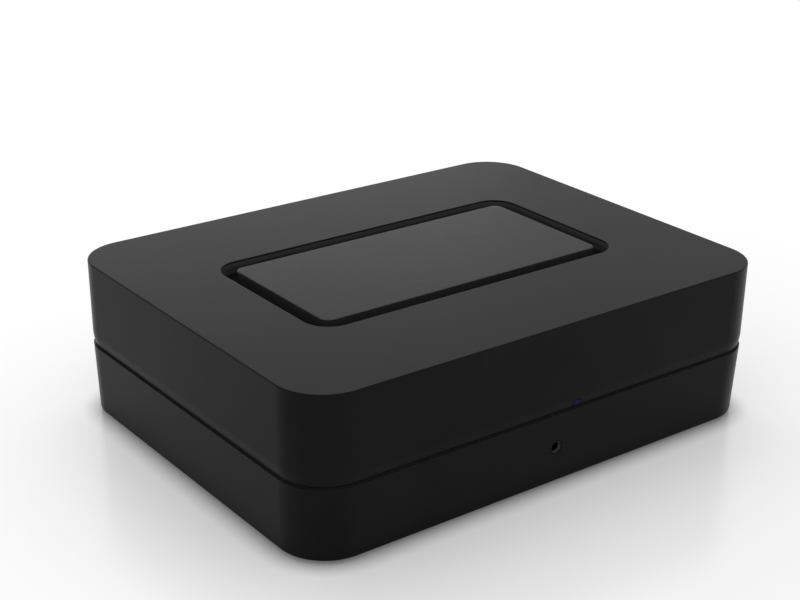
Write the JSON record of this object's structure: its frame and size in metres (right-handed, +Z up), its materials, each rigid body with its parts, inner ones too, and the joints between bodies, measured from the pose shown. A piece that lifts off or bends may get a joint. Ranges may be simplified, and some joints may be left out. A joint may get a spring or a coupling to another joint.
{
  "type": "bluetooth audio receiver",
  "caption": "Low box with rounded corners in two matt black shells split by a waist groove, with a touch plate in a moat on top, a front headphone socket and a recessed rear socket panel.",
  "frame": {"origin": "on the surface that the feet stand on, under the middle of the outline box", "axes": "+X to the right seen from the front, +Y to the back, +Z up"},
  "size_m": [0.25, 0.2, 0.0744],
  "materials": {
    "case": "fine matt black",
    "plate": "satin black",
    "trim": "moulded black",
    "rubber": "matt",
    "light": "clear blue",
    "nickel": "nickel plate",
    "gold": "gold plate",
    "steel": "black oxide",
    "red": "moulded red",
    "white": "moulded white",
    "board": "green solder mask",
    "aluminium": "extruded",
    "tape": "wound tape",
    "ribbon": "ribbed flat cable"
  },
  "bodies": {
    "housing": {"base_shell": "case", "case_screw_front_left": "steel", "case_screw_front_right": "steel", "case_screw_rear_left": "steel", "case_screw_rear_right": "steel", "ethernet_jack": "nickel", "foot_front_left": "rubber", "foot_front_right": "rubber", "foot_rear_left": "rubber", "foot_rear_right": "rubber", "front_jack": "trim", "front_jack_bush": "steel", "heat_sink": "aluminium", "main_board": "board", "mains_inlet": "trim", "mains_pin_left": "nickel", "mains_pin_right": "nickel", "optical_port": "trim", "panel_screw_left": "steel", "panel_screw_right": "steel", "post_block_left": "trim", "post_block_right": "trim", "post_stud_left_minus": "gold", "post_stud_left_plus": "gold", "post_stud_right_minus": "gold", "post_stud_right_plus": "gold", "power_board": "board", "power_cable": "red", "power_transformer": "tape", "processor": "trim", "rca_collar_left": "white", "rca_collar_right": "red", "rca_jack_left": "gold", "rca_jack_right": "gold", "rear_frame": "trim", "rear_panel": "trim", "reservoir_capacitor": "steel", "reset_switch": "trim", "ribbon_cable": "ribbon", "speaker_cable": "trim", "status_led": "white", "status_light": "light", "terminal_board": "board", "top_shell": "case", "touch_board": "board", "touch_plate": "plate", "touch_tray": "trim", "usb_port": "nickel", "waist_band": "trim", "wireless_module": "nickel"},
    "reset_button": {"reset_button": "plate"},
    "optical_shutter": {"optical_shutter": "plate"},
    "insert_left_plus": {"post_insert_left_plus": "gold"},
    "grip_left_plus": {"post_grip_left_plus": "red"},
    "insert_left_minus": {"post_insert_left_minus": "gold"},
    "grip_left_minus": {"post_grip_left_minus": "trim"},
    "insert_right_plus": {"post_insert_right_plus": "gold"},
    "grip_right_plus": {"post_grip_right_plus": "red"},
    "insert_right_minus": {"post_insert_right_minus": "gold"},
    "grip_right_minus": {"post_grip_right_minus": "trim"}
  },
  "joints": [
    {"name": "reset_press", "type": "slide", "parent": "housing", "child": "reset_button", "axis": [0, -1, 0], "range_m": [0, 0.0008], "stiffness_N_per_m": 800},
    {"name": "shutter_swing", "type": "hinge", "parent": "housing", "child": "optical_shutter", "pos_m": [0.044, 0.0816, 0.0223], "axis": [-1, 0, 0], "range_deg": [0, 80], "stiffness_Nm_per_rad": 0.0004},
    {"name": "climb_left_plus", "type": "slide", "parent": "housing", "child": "insert_left_plus", "axis": [0, 1, 0], "range_m": [0, 0.005]},
    {"name": "turn_left_plus", "type": "hinge", "parent": "insert_left_plus", "child": "grip_left_plus", "pos_m": [0.076, 0.0934, 0.046], "axis": [0, 1, 0], "range_deg": [0, 1800]},
    {"name": "climb_left_minus", "type": "slide", "parent": "housing", "child": "insert_left_minus", "axis": [0, 1, 0], "range_m": [0, 0.005]},
    {"name": "turn_left_minus", "type": "hinge", "parent": "insert_left_minus", "child": "grip_left_minus", "pos_m": [0.057, 0.0934, 0.046], "axis": [0, 1, 0], "range_deg": [0, 1800]},
    {"name": "climb_right_plus", "type": "slide", "parent": "housing", "child": "insert_right_plus", "axis": [0, 1, 0], "range_m": [0, 0.005]},
    {"name": "turn_right_plus", "type": "hinge", "parent": "insert_right_plus", "child": "grip_right_plus", "pos_m": [0.028, 0.0934, 0.046], "axis": [0, 1, 0], "range_deg": [0, 1800]},
    {"name": "climb_right_minus", "type": "slide", "parent": "housing", "child": "insert_right_minus", "axis": [0, 1, 0], "range_m": [0, 0.005]},
    {"name": "turn_right_minus", "type": "hinge", "parent": "insert_right_minus", "child": "grip_right_minus", "pos_m": [0.009, 0.0934, 0.046], "axis": [0, 1, 0], "range_deg": [0, 1800]}
  ],
  "couplings": [
    {"joint": "turn_left_plus", "follows": "climb_left_plus", "rad_per_m": 6283},
    {"joint": "turn_left_minus", "follows": "climb_left_minus", "rad_per_m": 6283},
    {"joint": "turn_right_plus", "follows": "climb_right_plus", "rad_per_m": 6283},
    {"joint": "turn_right_minus", "follows": "climb_right_minus", "rad_per_m": 6283}
  ]
}
